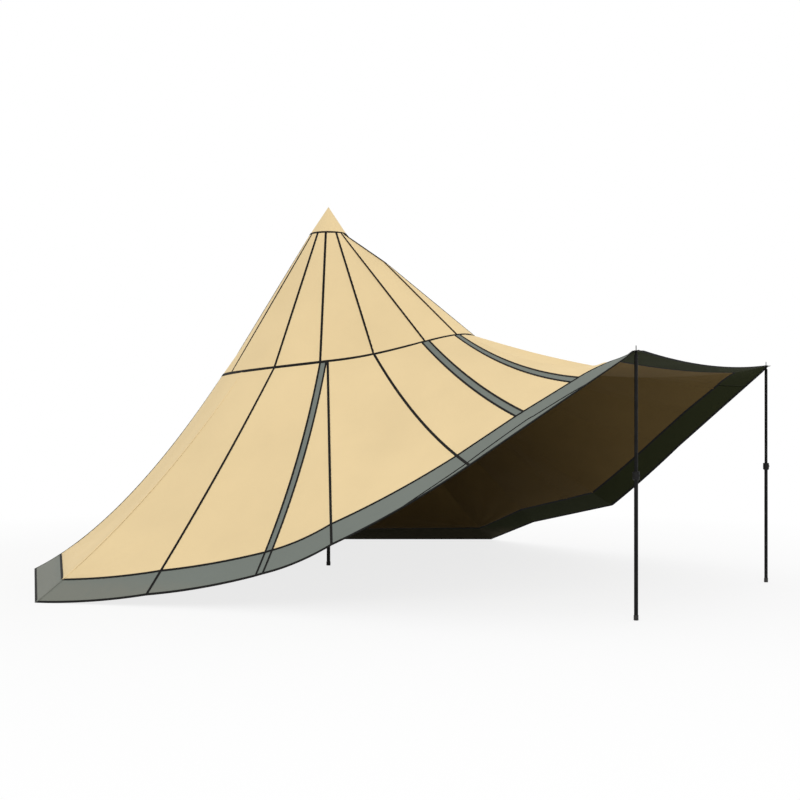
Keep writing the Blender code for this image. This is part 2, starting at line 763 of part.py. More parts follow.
def main():
    clear_scene()
    canvas = make_material("canvas", (0.815, 0.640, 0.365), 0.85)
    band = make_material("band", (0.198, 0.216, 0.192), 0.80)
    steel = make_material("pole", (0.006, 0.006, 0.006), 0.40, 0.6)
    plastic = make_material("plastic", (0.012, 0.012, 0.012), 0.50)
    rubber = make_material("rubber", (0.010, 0.010, 0.010), 0.75)
    brass = make_material("eyelet", (0.020, 0.020, 0.020), 0.35, 1.0)
    sides = {"left": -AWNING_POLE_X, "right": AWNING_POLE_X}
    height = eyelet_height()
    cap_underside = make_cap(canvas)
    make_crown(canvas)
    make_walls(canvas)
    make_trim(band, {side: eyelet_cutter(side, x, height) for side, x in sides.items()})
    make_centre_pole(cap_underside, steel, plastic, rubber)
    for side, x in sides.items():
        make_eyelet(side, x, height, brass)
        make_awning_pole(side, x, height, steel, plastic, rubber)


main()
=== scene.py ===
"""Looks of the peaked canvas tent: finer canvas, seam tape, poles, materials, light and camera."""
from math import acos, cos, hypot, pi, radians, sin

import bpy
import numpy as np
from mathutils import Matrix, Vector
from mathutils.bvhtree import BVHTree


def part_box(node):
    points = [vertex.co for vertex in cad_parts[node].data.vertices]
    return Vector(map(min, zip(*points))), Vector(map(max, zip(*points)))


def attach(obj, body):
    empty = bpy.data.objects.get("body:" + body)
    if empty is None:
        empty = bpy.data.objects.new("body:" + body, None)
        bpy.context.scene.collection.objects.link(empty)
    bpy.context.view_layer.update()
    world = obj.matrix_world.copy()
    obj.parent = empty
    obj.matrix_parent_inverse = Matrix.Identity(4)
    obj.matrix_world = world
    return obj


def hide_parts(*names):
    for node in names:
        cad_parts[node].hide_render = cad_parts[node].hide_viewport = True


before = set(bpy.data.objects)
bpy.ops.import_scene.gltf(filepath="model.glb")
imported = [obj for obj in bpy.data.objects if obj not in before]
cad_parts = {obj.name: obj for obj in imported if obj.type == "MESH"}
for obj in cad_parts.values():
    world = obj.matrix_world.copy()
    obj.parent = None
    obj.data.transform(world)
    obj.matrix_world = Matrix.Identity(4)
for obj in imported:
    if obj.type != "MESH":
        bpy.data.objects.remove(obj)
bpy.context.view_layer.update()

# Sizes of the tent's surface, the same as in the CAD, in metres
FABRIC_THICKNESS = 0.002
HOLLOW_SHARE = 0.035  # how deep the canvas sags, as a share of its width
HEM_BAND_WIDTH = 0.28
STRIP_WIDTH = 0.060
GUSSET_TOP_WIDTH = 0.014
APEX_HEIGHT = 3.888
CAP_RADIUS = 0.200
CAP_RIM_HEIGHT = 3.585
CAP_FALL = APEX_HEIGHT - CAP_RIM_HEIGHT
RIDGE_SPLIT = np.array((0.0, -0.763, 3.23))
RING_RADIUS = 1.14
RING_FRONT_REACH = 0.68
RING_HEIGHT = 2.05
RING_FRONT_RISE = 0.16
RING_BROW_RISE = 0.21
REACH_SHARPNESS = 14
FRONT_SHARPNESS = 2.5
BROW_SHARPNESS = 25
AWNING_POLE_X = 1.433
AWNING_POLE_Y = -4.31
AWNING_HEIGHT = 2.10
AWNING_SAG = 0.07
CORNER = (1.460, -4.345)
SIDE_PEG = (3.632, 0.212)
REAR_PEG = (2.112, 2.275)
BACK_Y = 2.36
# The side hems: share of the way from side peg to corner, and height as a share of the awning's
LEFT_HEM = ((0.0, 0.0), (0.199, 0.043), (0.394, 0.132), (0.516, 0.257), (0.740, 0.568), (1.0, 1.0))
RIGHT_HEM = ((0.0, 0.0), (0.199, 0.143), (0.516, 0.288), (1.0, 1.0))
# Lines down the side walls: azimuth at the ring, share of the hem, and the knee's share of the way and its drop
SIDE_LINES = {
    "corner": (2.5, 1.000, 0.66, 0.400),
    "awning": (5.3, 0.930, 0.50, 0.200),
    "eave": (15.5, 0.841, 0.50, 0.150),
    "brow": (31.2, 0.740, 0.50, 0.220),
    "door": (54.0, 0.394, 0.50, 0.113),
    "side": (78.2, 0.199, 0.50, 0.090),
    "side_peg": (100.0, 0.000, 0.50, 0.315),
}
DOOR_SWAY = 0.085  # of the door strip's knee towards the front
# The same without the azimuth, and without the share of the hem for the other three
GUSSET_LINE = (0.516, 0.50, 0.132)
REAR_PEG_LINE = (137.0, 0.53, 0.509)
FRONT_LINE = (0.0, 0.45, 0.396)
BACK_LINE = (180.0, 0.53, 0.4646)
# Seams of the crown: azimuth at the cap's rim and at the ring
UPPER_SEAMS = ((0.0, 5.3), (8.0, 15.5), (26.0, 31.2), (58.0, 54.0), (84.0, 78.2), (110.0, 112.0),
               (145.0, 145.0))

# In the scene alone: how far the hem dips between two seams, by the first of them
HEM_DIPS = {"left_brow": 0.030, "left_gusset": 0.025, "left_door_rear": 0.020, "left_side": 0.022,
            "right_gusset": 0.015}


# The tent's surface, as in the CAD but for whole arrays of points at once

def around(azimuth, radius, height):
    turn = np.radians(azimuth)
    return np.stack(np.broadcast_arrays(-radius * np.sin(turn), -radius * np.cos(turn), height), axis=-1)


def front_weight(azimuth, sharpness):
    return ((1 + np.cos(np.radians(azimuth))) / 2) ** sharpness


def ring_radius(azimuth):
    return RING_RADIUS + RING_FRONT_REACH * front_weight(azimuth, REACH_SHARPNESS)


def ring_point(azimuth):
    height = (RING_HEIGHT + RING_FRONT_RISE * front_weight(azimuth, FRONT_SHARPNESS)
              + RING_BROW_RISE * front_weight(azimuth, BROW_SHARPNESS))
    return around(azimuth, ring_radius(azimuth), height)


def unit(v):
    return v / np.maximum(np.linalg.norm(v, axis=-1, keepdims=True), 1e-12)


def side_hem(share, hem):
    x = -(SIDE_PEG[0] + (CORNER[0] - SIDE_PEG[0]) * share)
    y = SIDE_PEG[1] + (CORNER[1] - SIDE_PEG[1]) * share
    climb = np.interp(share, *zip(*hem))
    return np.array((x, y, max(AWNING_HEIGHT * climb, FABRIC_THICKNESS)))


def strip_edges(name, hem, beside=False):
    azimuth, share, knee_share, drop = SIDE_LINES[name]
    turn = np.degrees(STRIP_WIDTH / 2 / ring_radius(azimuth))
    ahead, behind = (2 * turn, 0.0) if beside else (turn, turn)
    step = STRIP_WIDTH / 2 / hypot(SIDE_PEG[0] - CORNER[0], SIDE_PEG[1] - CORNER[1])
    return [(name + "_front", azimuth - ahead, side_hem(share + step, hem), knee_share, drop),
            (name + "_rear", azimuth + behind, side_hem(share - step, hem), knee_share, drop)]


def side_key(name, hem):
    azimuth, share, knee_share, drop = SIDE_LINES[name]
    return name, azimuth, side_hem(share, hem), knee_share, drop


def side_keys(hem):
    door = strip_edges("door", hem, beside=True)
    gusset_turn = np.degrees(GUSSET_TOP_WIDTH / ring_radius(door[0][1]))
    rear_foot = np.array((-REAR_PEG[0], REAR_PEG[1], FABRIC_THICKNESS))
    return [
        side_key("corner", hem), *strip_edges("awning", hem), *strip_edges("eave", hem),
        side_key("brow", hem),
        ("gusset", door[0][1] - gusset_turn, side_hem(GUSSET_LINE[0], hem), *GUSSET_LINE[1:]),
        *door, side_key("side", hem), side_key("side_peg", hem),
        ("rear_peg", REAR_PEG_LINE[0], rear_foot, *REAR_PEG_LINE[1:]),
    ]


def all_keys():
    mirror = np.array((-1, 1, 1))
    front_foot = np.array((0, CORNER[1], AWNING_HEIGHT - AWNING_SAG))
    back_foot = np.array((0, BACK_Y, FABRIC_THICKNESS))
    keys = [("front", FRONT_LINE[0], front_foot, *FRONT_LINE[1:])]
    keys += [("left_" + key[0], *key[1:]) for key in side_keys(LEFT_HEM)]
    keys += [("back", BACK_LINE[0], back_foot, *BACK_LINE[1:])]
    keys += [("right_" + name, 360 - azimuth, foot * mirror, share, drop)
             for name, azimuth, foot, share, drop in reversed(side_keys(RIGHT_HEM))]
    return keys


KEYS = all_keys()
COUNT = len(KEYS)
INDEX = {key[0]: number for number, key in enumerate(KEYS)}
AZIMUTHS = np.array([key[1] for key in KEYS], dtype=float)
FEET = np.array([key[2] for key in KEYS], dtype=float)
TOPS = ring_point(AZIMUTHS)
KNEE_SHARES = np.array([key[3] for key in KEYS])[:, None]
OUT = unit((FEET - TOPS) * (1, 1, 0))
SWAYS = np.array([DOOR_SWAY if "_door_" in key[0] else 0.0 for key in KEYS])[:, None]
FORWARD = np.stack((OUT[:, 1], -OUT[:, 0], 0 * OUT[:, 0]), -1) * np.where(OUT[:, :1] > 0, 1, -1)
KNEES = (TOPS + (FEET - TOPS) * KNEE_SHARES + FORWARD * SWAYS
         - np.array([(0, 0, key[4]) for key in KEYS]))
DIPS = np.array([HEM_DIPS.get(key[0], 0.0) for key in KEYS])
# Middles of the two wide panels, each of which hangs in one even curve
WIDE = (INDEX["front"], INDEX["back"])


def key_point(number, t):
    number, t = number % COUNT, np.asarray(t)[..., None]
    return TOPS[number] * (1 - t) ** 2 + KNEES[number] * (2 * t * (1 - t)) + FEET[number] * t ** 2


def last_place(holds, count):
    """Places between 0 and 1 up to which a condition holds, found by halving."""
    low, high = np.zeros(count), np.ones(count)
    for _ in range(30):
        t = (low + high) / 2
        held = holds(t)
        low, high = np.where(held, t, low), np.where(held, high, t)
    return low


BEFORE, AFTER = (unit(np.roll(FEET, shift, axis=0) - FEET) for shift in (1, -1))
BAND_LENGTHS = HEM_BAND_WIDTH / np.sin(np.arccos((BEFORE * AFTER).sum(axis=1)) / 2)
BAND_STARTS = last_place(
    lambda t: np.linalg.norm(key_point(np.arange(COUNT), t) - FEET, axis=1) > BAND_LENGTHS, COUNT)


def split(pos):
    number = np.floor(pos + 1e-9).astype(int)
    return number, np.clip(pos - number, 0, 1)


def key_azimuth(number):
    return AZIMUTHS[number % COUNT] + 360 * (number // COUNT)


def azimuth_at(pos):
    number, share = split(pos)
    return key_azimuth(number) * (1 - share) + key_azimuth(number + 1) * share


def pos_at(azimuth):
    numbers = np.arange(-COUNT, 2 * COUNT + 1)
    return np.interp(azimuth, key_azimuth(numbers), numbers)


def taut_wall(pos, t):
    number, share = split(pos)
    w, rest = share[..., None], (1 - t[..., None]) ** 2
    flat = key_point(number, t) * (1 - w) + key_point(number + 1, t) * w
    chord = TOPS[number % COUNT] * (1 - w) + TOPS[(number + 1) % COUNT] * w
    for middle in WIDE:
        off = from_middle(pos, middle)
        here = (np.abs(off) <= 1)[..., None]
        u = off[..., None]
        weights = (u * (u - 1) / 2, 1 - u ** 2, u * (u + 1) / 2)
        ends = (middle - 1, middle, middle + 1)
        flat = np.where(here, sum(key_point(np.array(n), t) * v for n, v in zip(ends, weights)), flat)
        chord = np.where(here, sum(TOPS[n % COUNT] * v for n, v in zip(ends, weights)), chord)
    dip = DIPS[number % COUNT] * 4 * share * (1 - share) * t ** 2
    surface = flat + (ring_point(azimuth_at(pos)) - chord) * rest
    return surface - np.stack(np.broadcast_arrays(0.0, 0.0, dip), axis=-1)


def from_middle(pos, middle):
    """Key lines from the middle of a wide panel to a place, negative before it."""
    return (pos - middle + COUNT / 2) % COUNT - COUNT / 2


def band_depth(pos, t):
    return np.linalg.norm((taut_wall(pos, t) - taut_wall(pos, np.ones_like(t)))[..., 1:], axis=-1)


def even_starts(middle):
    """Where the hem band begins across a wide panel, so that its edge runs straight."""
    off = np.linspace(-1, 1, 65)
    pos = (middle + off) % COUNT
    keys = np.array((middle - 1, middle, middle + 1)) % COUNT
    wanted = np.interp(off, (-1, 0, 1), band_depth(keys.astype(float), BAND_STARTS[keys]))
    return off, last_place(lambda t: band_depth(pos, t) > wanted, len(off))


WIDE_STARTS = [(middle, *even_starts(middle)) for middle in WIDE]


def band_start_at(pos):
    number, share = split(pos)
    start = BAND_STARTS[number % COUNT] * (1 - share) + BAND_STARTS[(number + 1) % COUNT] * share
    for middle, off, starts in WIDE_STARTS:
        away = from_middle(pos, middle)
        start = np.where(np.abs(away) <= 1, np.interp(away, off, starts), start)
    return start


def taut_normal(pos, t):
    step = 0.004
    down = taut_wall(pos, np.minimum(t + step, 1)) - taut_wall(pos, np.maximum(t - step, 0))
    here = taut_wall(pos, t)
    before = unit(here - taut_wall(pos - step, t))
    after = unit(taut_wall(pos + step, t) - here)
    return unit(np.cross(before + after, down))


def wall_point(pos, t):
    number, share = split(pos)
    along = np.clip(t / band_start_at(pos), 0, 1)
    width = np.linalg.norm(key_point(number + 1, t) - key_point(number, t), axis=-1)
    hollow = 4 * share * (1 - share)
    for middle in WIDE:
        off = from_middle(pos, middle)
        hollow = np.where(np.abs(off) <= 1, 1 - off ** 2, hollow)
    depth = HOLLOW_SHARE * width * hollow * np.sin(pi * along)
    return taut_wall(pos, t) - taut_normal(pos, t) * depth[..., None]


def slope_normal(azimuth, fall, run):
    length = np.sqrt(fall ** 2 + run ** 2)
    return around(azimuth, fall / length, run / length)


def cap_normal(azimuth):
    return slope_normal(azimuth, CAP_FALL, CAP_RADIUS)


def ring_normal(azimuth):
    rim = ring_point(azimuth)
    run = np.hypot(rim[..., 0], rim[..., 1]) - CAP_RADIUS
    above = slope_normal(azimuth, CAP_RIM_HEIGHT - rim[..., 2], run)
    return unit(above + taut_normal(pos_at(azimuth % 360), np.zeros_like(azimuth)))


MIRRORED = [(360 - cap, 360 - ring) for cap, ring in reversed(UPPER_SEAMS)]
SEAMS = [*UPPER_SEAMS, *MIRRORED, tuple(360.0 + azimuth for azimuth in UPPER_SEAMS[0])]
RIDGE_SPLIT_SHARE = float((-RIDGE_SPLIT[1] - CAP_RADIUS) / (ring_radius(0.0) - CAP_RADIUS))


def seam_point(seam, s):
    s = np.asarray(s, dtype=float)[..., None]
    top = around(seam[0], CAP_RADIUS, CAP_RIM_HEIGHT)
    bottom = ring_point(seam[1])
    if seam[0] % 360:
        return top + (bottom - top) * s
    high = top + (RIDGE_SPLIT - top) * (s / RIDGE_SPLIT_SHARE)
    low = RIDGE_SPLIT + (bottom - RIDGE_SPLIT) * ((s - RIDGE_SPLIT_SHARE) / (1 - RIDGE_SPLIT_SHARE))
    return np.where(s <= RIDGE_SPLIT_SHARE, high, low)


def crown_normal(point, s):
    azimuth = np.degrees(np.arctan2(-point[..., 0], -point[..., 1]))
    blend = s[..., None]
    return unit(cap_normal(azimuth) * (1 - blend) + ring_normal(azimuth) * blend)


def gore_point(first, second, share, s):
    a, b = seam_point(first, s), seam_point(second, s)
    w, down = share[..., None], s[..., None]
    point = a * (1 - w) + b * w
    ring_bow = (ring_point(first[1] * (1 - share) + second[1] * share)
                - (seam_point(first, 1.0) * (1 - w) + seam_point(second, 1.0) * w))
    cap_bow = (around(first[0] * (1 - share) + second[0] * share, CAP_RADIUS, CAP_RIM_HEIGHT)
               - (seam_point(first, 0.0) * (1 - w) + seam_point(second, 0.0) * w))
    width = np.linalg.norm(b - a, axis=-1)
    depth = HOLLOW_SHARE * width * 4 * share * (1 - share) * np.sin(pi * s)
    return (point + ring_bow * down ** 2 + cap_bow * (1 - down) ** 2
            - crown_normal(point, s) * depth[..., None])


# Canvas meshes

PANEL_PITCH = 0.05  # between two columns of points on a panel
FINE_PITCH = 0.022  # between its rows, and between the columns of a band
BAND_ROW_PITCH = 0.03
EDGE_STEPS = (0.010, 0.026, 0.050)  # rows and columns beside an edge
GIRTH_AT = 0.6  # how far down a panel's width is measured
FALL_POINTS = 40  # for its length
PUCKER_PITCH = 0.062  # between two puckers along a seam
PUCKER_DEPTH = 0.0022
PUCKER_REACH = 0.055  # into the canvas
PUCKER_SHIFT = 1.7  # between the two edges, in radians
PUCKER_DRIFT = 1.3  # of their spacing along the seam, in radians
DRIFT_RATE = 5.1  # in radians a metre
FOLD_DEPTH = 0.006  # of the tension folds that fan out from a corner
FOLD_REACH = 0.75
FOLD_START = 0.15  # how far from the corner they are at full depth
FOLD_RATE = 13  # of the fan's waves
SLACK_DEPTH = 0.005  # of the broad waves in the middle of a panel
SLACK_INSET = 0.3  # the same from an edge
SLACK_WAVES = 6
SLACK_PITCHES = (0.35, 1.1)
BAND_SLACK_SHARE = 0.25  # the hem band is stiffer
EDGE_CALM = 0.012  # beside the edges of a piece
SEAM_CALM = 0.030  # beside a seam that crosses a sheet


def smooth_noise(x, y, seed):
    """Broad waves from a few fixed sines, between about -1 and 1."""
    rng = np.random.default_rng(seed)
    total = np.zeros_like(x)
    for _ in range(SLACK_WAVES):
        turn, pitch, phase = rng.uniform(0, pi), rng.uniform(*SLACK_PITCHES), rng.uniform(0, 2 * pi)
        total += np.sin((x * cos(turn) + y * sin(turn)) * 2 * pi / pitch + phase)
    return total / (SLACK_WAVES / 2)


def relief(across, down, width, length, seed, corners, slack_share=1.0):
    """How far the canvas stands out, from its distances across and down in metres."""
    left, right = across, width - across
    edge = np.minimum(left, right)
    ends = np.minimum(down, length - down)
    calm = 1 - np.exp(-(np.minimum(edge, ends) / EDGE_CALM) ** 2)
    pucker, drift = 0, PUCKER_DRIFT * np.sin(down * DRIFT_RATE + seed)
    for distance, shift in ((left, 0.0), (right, PUCKER_SHIFT)):
        wave = np.sin(2 * pi * down / PUCKER_PITCH + shift + drift)
        pucker = pucker + wave * np.exp(-distance / PUCKER_REACH)
    slack = smooth_noise(across, down, seed)
    slack = slack * np.clip(edge / SLACK_INSET, 0, 1) * np.clip(ends / SLACK_INSET, 0, 1)
    height = PUCKER_DEPTH * pucker + SLACK_DEPTH * slack_share * slack
    for far_across, far_down in corners:
        dx = across - (width if far_across else 0)
        dy = down - (length if far_down else 0)
        reach = np.hypot(dx, dy)
        fan = np.sin(np.arctan2(np.abs(dy), np.abs(dx) + 1e-6) * FOLD_RATE + seed)
        height = height + FOLD_DEPTH * fan * np.exp(-reach / FOLD_REACH) * np.clip(reach / FOLD_START, 0, 1)
    return height * calm


def distances(points, axis):
    """Length walked along an axis of a grid of points, from its start."""
    steps = np.linalg.norm(np.diff(points, axis=axis), axis=-1)
    pad = [(0, 0), (0, 0)]
    pad[axis] = (1, 0)
    return np.cumsum(np.pad(steps, pad), axis=axis)


def walked(points):
    """Length walked along a row of points, from its start."""
    return np.concatenate(([0.0], np.cumsum(np.linalg.norm(np.diff(points, axis=0), axis=1))))


def grid_normals(points):
    down = np.gradient(points, axis=0)
    across = np.gradient(points, axis=1)
    return unit(np.cross(across, down))


def add_object(name, data):
    thing = bpy.data.objects.new(name, data)
    bpy.context.scene.collection.objects.link(thing)
    return thing


def new_mesh(name, points, faces):
    mesh = bpy.data.meshes.new(name)
    mesh.from_pydata(points, [], faces)
    return mesh


def two_sides(mesh, sides):
    """Material slots for the outer and the inner side, and the slot of each face."""
    for _ in range(2):
        mesh.materials.append(None)
    mesh.polygons.foreach_set("material_index", sides)


def add_cloth(name, points, faces, flat, sides):
    """Object of two sides, with the flat places of its points as UVs in metres."""
    mesh = new_mesh(name, points.tolist(), faces)
    layer = mesh.uv_layers.new(name="cloth")
    loops = np.empty(len(mesh.loops), dtype=np.int32)
    mesh.loops.foreach_get("vertex_index", loops)
    layer.data.foreach_set("uv", flat[loops].astype(np.float32).ravel())
    two_sides(mesh, sides)
    return add_object(name, mesh)


SHEETS, CANVAS, BAND = {}, [], []


def add_sheet(node, points, crossed=(), corners=()):
    """Thin closed canvas over a CAD node, from a grid of outer points, with puckers and folds.

    Columns named in crossed have a seam over them and lie flat."""
    name, seed = "cloth_" + node, len(SHEETS) + 1
    rows, width = points.shape[:2]
    across, down = distances(points, 1), distances(points, 0)
    normals = grid_normals(points)
    wide, tall = across[:, -1:], down[-1:, :]
    if node.startswith("band"):
        raised = relief(down, across, tall, wide, seed, (), BAND_SLACK_SHARE)
    else:
        raised = relief(across, down, wide, tall, seed, corners)
    for column in crossed:
        raised = raised * (1 - np.exp(-((across - across[:, column:column + 1]) / SEAM_CALM) ** 2))
    outer = points + normals * raised[..., None]
    inner = outer - grid_normals(outer) * FABRIC_THICKNESS
    size = rows * width
    index = np.arange(size).reshape(rows, width)
    a, b, c, d = index[:-1, :-1], index[:-1, 1:], index[1:, 1:], index[1:, :-1]
    front = np.stack((a, b, c, d), -1).reshape(-1, 4)
    back = np.stack((a, d, c, b), -1).reshape(-1, 4) + size
    rim = np.concatenate((index[0], index[1:, -1], index[-1, -2::-1], index[-2:0:-1, 0]))
    after = np.roll(rim, -1)
    wall = np.stack((after, rim, rim + size, after + size), -1)
    flat = np.stack((across, down), -1).reshape(-1, 2)
    sides = [0] * len(front) + [1] * len(back) + [0] * len(wall)
    thing = add_cloth(name, np.concatenate((outer.reshape(-1, 3), inner.reshape(-1, 3))),
                      np.concatenate((front, back, wall)).tolist(), np.concatenate((flat, flat)), sides)
    thing.data.shade_smooth()
    start = points[:-1, :-1]
    cell = np.linalg.norm(np.cross(points[1:, :-1] - start, points[:-1, 1:] - start), axis=-1)
    SHEETS[name] = (thing, float(wide.max()), float(tall.max()), float(cell.sum()))
    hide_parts(node)
    (BAND if node.startswith(("band", "strip")) else CANVAS).append(thing)


def edge_shares(length, pitch=PANEL_PITCH):
    """Shares from 0 to 1, close together near both ends and a pitch apart between them."""
    ends = [d for d in EDGE_STEPS if d < length * 0.3]
    start = ends[-1] if ends else 0.0
    stop = length - start
    middle = np.linspace(start, stop, max(2, int(np.ceil((stop - start) / pitch)) + 1))
    walk = [0.0, *ends[:-1], *middle, *(length - d for d in reversed(ends[:-1])), length]
    return np.unique(np.round(np.array(walk) / length, 9))


def panel_grid(first, last, from_band):
    """Points of a wall panel or a hem band between two key lines, and its columns on the lines between."""
    keys = np.arange(first, last + 1)
    lines = keys.astype(float)
    if from_band:
        stops, pitch = FEET[keys % COUNT], FINE_PITCH
        rows = edge_shares(HEM_BAND_WIDTH, BAND_ROW_PITCH)
    else:
        stops, pitch = taut_wall(lines, np.full(len(keys), GIRTH_AT)), PANEL_PITCH
        line = taut_wall(np.full(FALL_POINTS, lines[0]), np.linspace(0, 1, FALL_POINTS))
        rows = edge_shares(float(np.linalg.norm(np.diff(line, axis=0), axis=1).sum()), FINE_PITCH)
    walk = walked(stops)
    pos = np.interp(edge_shares(float(walk[-1]), pitch) * walk[-1], walk, lines)
    pos = np.unique(np.round(np.concatenate((pos, lines)), 9))
    crossed = [int(np.argmin(np.abs(pos - key))) for key in keys[1:-1]] if from_band else []
    pos, rows = np.broadcast_arrays(pos[None, :], rows[:, None])
    start = band_start_at(pos)
    t = start + (1 - start) * rows if from_band else start * rows
    return wall_point(pos.astype(float), t), crossed


def gore_grid(first, second, start=0.0):
    width = float(np.linalg.norm(seam_point(second, 1.0) - seam_point(first, 1.0)))
    fall = float(np.linalg.norm(seam_point(first, 1.0) - seam_point(first, start)))
    share, s = np.broadcast_arrays(edge_shares(width)[None, :], edge_shares(fall, FINE_PITCH)[:, None])
    return gore_point(first, second, share.astype(float), start + (1 - start) * s)


PANELS = (("awning_rear", "eave_front"), ("eave_rear", "brow"), ("brow", "gusset"),
          ("door_rear", "side"), ("side", "side_peg"), ("side_peg", "rear_peg"))
BOTH_FEET = ((0, 1), (1, 1))  # corners from which tension folds fan out
PEGGED = {5: BOTH_FEET[1:], 6: BOTH_FEET}


def add_panel(node, first, last, corners=()):
    first, last = INDEX[first], INDEX[last]
    last += COUNT if last < first else 0
    add_sheet(node, *panel_grid(first, last, node.startswith("band")), corners)


def add_pair(node, first, last, corners=()):
    flipped = tuple((1 - across, down) for across, down in corners)
    add_panel(node.replace("*", "left"), "left_" + first, "left_" + last, corners)
    add_panel(node.replace("*", "right"), "right_" + last, "right_" + first, flipped)


for number, (first, last) in enumerate(PANELS, 1):
    add_pair(f"panel_*_{number}", first, last, PEGGED.get(number, ()))
add_pair("gusset_*", "gusset", "door_front")
add_panel("panel_awning", "right_awning_front", "left_awning_front", BOTH_FEET)
add_panel("panel_back", "left_rear_peg", "right_rear_peg", BOTH_FEET)
for strip in ("awning", "eave", "door"):
    add_pair(f"strip_*_{strip}", strip + "_front", strip + "_rear")
add_pair("band_*_rear", "side_peg", "rear_peg")
add_pair("band_*_side", "corner", "side_peg")
add_panel("band_back", "left_rear_peg", "right_rear_peg")
add_panel("band_front", "right_corner", "left_corner")

HALF = len(UPPER_SEAMS)
FRONT_GORE_START = RIDGE_SPLIT_SHARE + 0.02  # just below the ridge's split
for number in range(HALF - 1):
    mirror = len(SEAMS) - 3 - number
    add_sheet(f"gore_left_{number + 1}", gore_grid(SEAMS[number], SEAMS[number + 1]))
    add_sheet(f"gore_right_{number + 1}", gore_grid(SEAMS[mirror], SEAMS[mirror + 1]))
add_sheet("gore_back", gore_grid(SEAMS[HALF - 1], SEAMS[HALF]))
add_sheet("gore_front", gore_grid(SEAMS[-2], SEAMS[-1], FRONT_GORE_START))


# Seam tape

TAPE_WIDTH = 0.024
STRIP_TAPE_WIDTH = 0.019  # along both edges of a strip
RING_TAPE_WIDTH = 0.036
CREASE_WIDTH = 0.012  # of the line that rises from the raised hem
CREASE_RISE = 0.36  # of its middle, as a share of the band
TAPE_PROUD = 0.0024  # heavy tape over a seam of several layers
OVER_PROUD = 0.0034  # of tape that runs over other tape
UNDER_PROUD = 0.0012  # of tape that runs under all other tape
TAPE_SUNK = 0.0012  # in the canvas, of tape on its outer side alone
TAPE_LIP = 0.0006
FLOOR_GAP = 0.0003  # under the lowest tape
HEM_SHIFT = 0.011  # keeps the hem's tape on the canvas side of its edge
EYELET_STOP = 0.970  # where the corner's tape ends, at its eyelet
HEM_STOP = 0.999  # where the others end, just before the hem
LINE_POINTS = 90  # along a seam
RING_STEP = 1.5  # degrees between two points around the crown
HEM_STEP = 0.02  # metres between two points along the hem
FRONT_TAPE_START = RIDGE_SPLIT_SHARE + 0.01  # just below the ridge's split
TAPES, WITH = [], {}


def sew(sheet, name, path, normals, width=TAPE_WIDTH, closed=False, shift=0.0, proud=TAPE_PROUD, through=True):
    """Domed tape over a seam, on both sides of the canvas, or only outside where it doesn't go through."""
    ahead = np.roll(path, -1, axis=0) - np.roll(path, 1, axis=0) if closed else np.gradient(path, axis=0)
    side = unit(np.cross(unit(ahead), normals))
    half, low = width / 2, -FABRIC_THICKNESS - min(proud, UNDER_PROUD) if through else -TAPE_SUNK
    profile = ((-half, low + TAPE_LIP), (-half, proud * 0.4), (-half * 0.7, proud), (half * 0.7, proud),
               (half, proud * 0.4), (half, low + TAPE_LIP), (half - TAPE_LIP, low), (-half + TAPE_LIP, low))
    rings = np.stack([path + side * (u + shift) + normals * h for u, h in profile], axis=1)
    rings[..., 2] = np.maximum(rings[..., 2], FLOOR_GAP)
    count, around_count = rings.shape[:2]
    index = np.arange(count * around_count).reshape(count, around_count)
    nearer, further = (index, np.roll(index, -1, axis=0)) if closed else (index[:-1], index[1:])
    corners = (nearer, np.roll(nearer, -1, 1), np.roll(further, -1, 1), further)
    faces = np.stack(corners, -1).reshape(-1, 4).tolist()
    below = [int(k >= 4) for k in range(around_count)] * len(nearer)
    if not closed:
        faces += [index[0][::-1].tolist(), index[-1].tolist()]
        below += [0, 0]
    across = np.array([u for u, _ in profile])
    flat = np.stack(np.broadcast_arrays(across[None, :], walked(path)[:, None]), -1).reshape(-1, 2)
    thing = add_cloth(name, rings.reshape(-1, 3), faces, flat, below)
    TAPES.append(thing)
    WITH.setdefault("cloth_" + sheet, []).append(thing)


def key_tape(name, key, sheet, low=0.0, high=None):
    """Tape down a key line, from the ring to the band or, with a place to end, across the band."""
    number = INDEX[key]
    start = float(BAND_STARTS[number])
    t = np.linspace(low * start, start if high is None else high, LINE_POINTS)
    pos = np.full(len(t), float(number))
    width = STRIP_TAPE_WIDTH if key.endswith(("_front", "_rear")) else TAPE_WIDTH
    proud = UNDER_PROUD if "side_peg" in key else TAPE_PROUD
    sew(sheet, name, taut_wall(pos, t), taut_normal(pos, t), width, proud=proud, through=high is None)


LOWER = (("awning_front", "panel_awning"), ("awning_rear", "panel_*_1"), ("eave_front", "panel_*_1"),
         ("eave_rear", "panel_*_2"), ("brow", "panel_*_2"), ("gusset", "panel_*_3"),
         ("door_front", "gusset_*"), ("door_rear", "panel_*_4"), ("side", "panel_*_4"),
         ("side_peg", "panel_*_5"), ("rear_peg", "panel_*_6"))
CROSSING = ("corner", "brow", "gusset", "door_front", "door_rear", "side", "side_peg", "rear_peg")
for side in ("left", "right"):
    for key, sheet in LOWER:
        key_tape(f"tape_{side}_{key}", f"{side}_{key}", sheet.replace("*", side))
    for key in CROSSING:
        sheet = f"band_{side}_rear" if key == "rear_peg" else f"band_{side}_side"
        key_tape(f"tape_{side}_{key}_hem", f"{side}_{key}", sheet, 1.0,
                 EYELET_STOP if key == "corner" else HEM_STOP)

